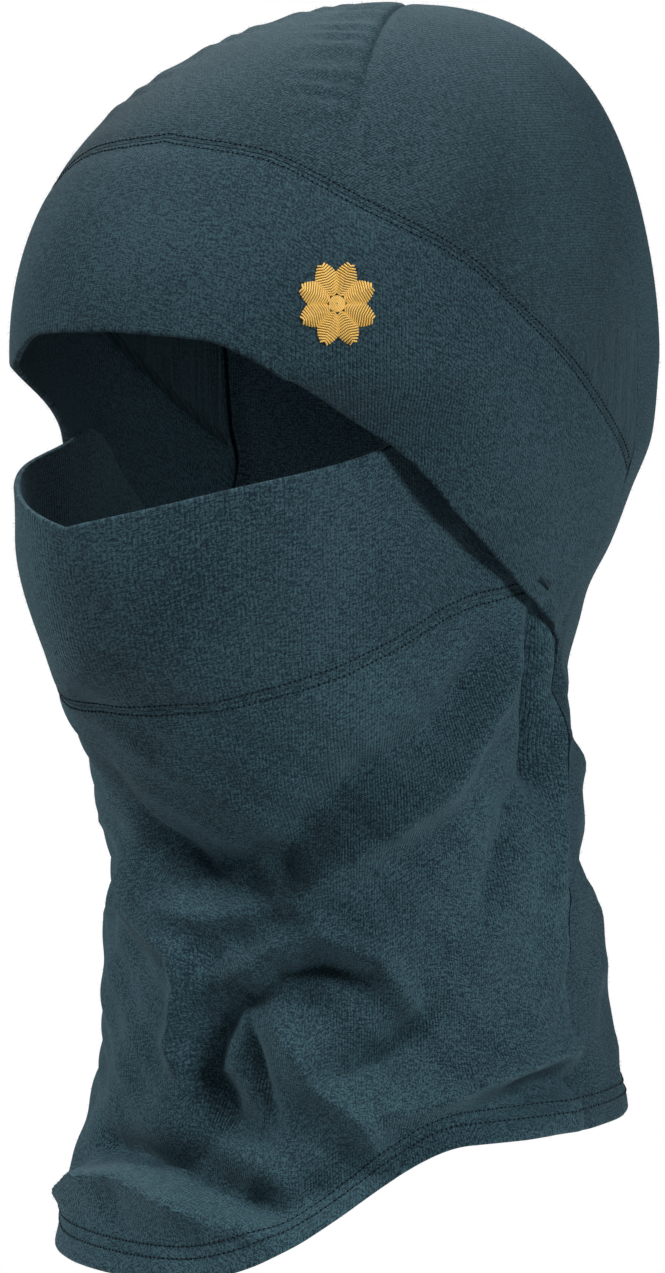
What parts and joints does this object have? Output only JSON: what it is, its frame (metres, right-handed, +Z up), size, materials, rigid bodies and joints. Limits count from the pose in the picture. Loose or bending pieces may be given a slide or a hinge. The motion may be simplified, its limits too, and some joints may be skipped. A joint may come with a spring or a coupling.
{
  "type": "balaclava",
  "caption": "Knitted full-head hood with a folded forehead band, a face cover that pulls down from the nose, and a long gathered neck tube.",
  "frame": {"origin": "where the head's vertical axis meets the level of the crown's highest point", "axes": "+Z up the head, -Y the wearer's front, +X the wearer's left"},
  "size_m": [0.1556, 0.2115, 0.3313],
  "materials": {
    "brushed_jersey": "brushed heathered fine-gauge jersey, matt with a soft sheen at grazing angles",
    "sewing_thread": "matt spun polyester thread, tone on tone",
    "embroidery_thread": "satin rayon embroidery thread, gold",
    "embroidery_backing": "non-woven tear-away backing"
  },
  "bodies": {
    "hood": {"crown_panel": "brushed_jersey", "forehead_band": "brushed_jersey", "back_panel": "brushed_jersey", "neck_panel": "brushed_jersey", "hem_fold": "brushed_jersey", "forehead_stitch_upper": "sewing_thread", "forehead_stitch_lower": "sewing_thread", "forehead_looper_thread": "sewing_thread", "hem_stitch_upper": "sewing_thread", "hem_stitch_lower": "sewing_thread", "hem_looper_thread": "sewing_thread", "side_seam_left": "sewing_thread", "side_seam_right": "sewing_thread", "crown_dart_left": "brushed_jersey", "crown_dart_right": "brushed_jersey", "bar_tack_left": "sewing_thread", "bar_tack_right": "sewing_thread", "embroidered_motif": "embroidery_thread", "embroidery_backing": "embroidery_backing"},
    "face_cover": {"face_band": "brushed_jersey", "face_stitch_upper": "sewing_thread", "face_stitch_lower": "sewing_thread", "face_looper_thread": "sewing_thread"}
  },
  "joints": [
    {"name": "face_cover_hinge", "type": "hinge", "parent": "hood", "child": "face_cover", "pos_m": [0, 0.007, -0.155], "axis": [1, 0, 0], "range_deg": [0, 30], "deforming": ["neck_panel"]}
  ]
}
